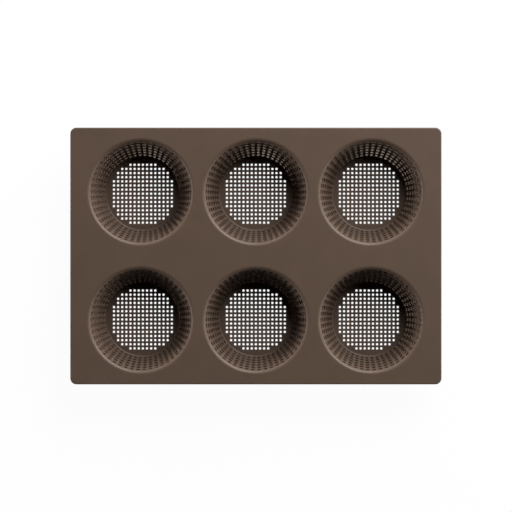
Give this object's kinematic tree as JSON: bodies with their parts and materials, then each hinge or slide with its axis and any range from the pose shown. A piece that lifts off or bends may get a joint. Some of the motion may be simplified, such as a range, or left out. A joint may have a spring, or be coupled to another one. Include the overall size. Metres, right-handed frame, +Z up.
{
  "type": "silicone bread roll mould",
  "caption": "Flat silicone deck with rows of round tapered cups for baking bread rolls; cup walls are open slots and cup floors are square grids.",
  "frame": {"origin": "middle of the mould, in the plane that the undersides of the cup floors stand on", "axes": "+X along the deck's long side, +Y along its short side, +Z up out of the cups' mouths"},
  "size_m": [0.3, 0.2074, 0.03],
  "materials": {
    "silicone": "satin"
  },
  "bodies": {
    "root": {"bread_roll_mould": "silicone"}
  },
  "joints": []
}
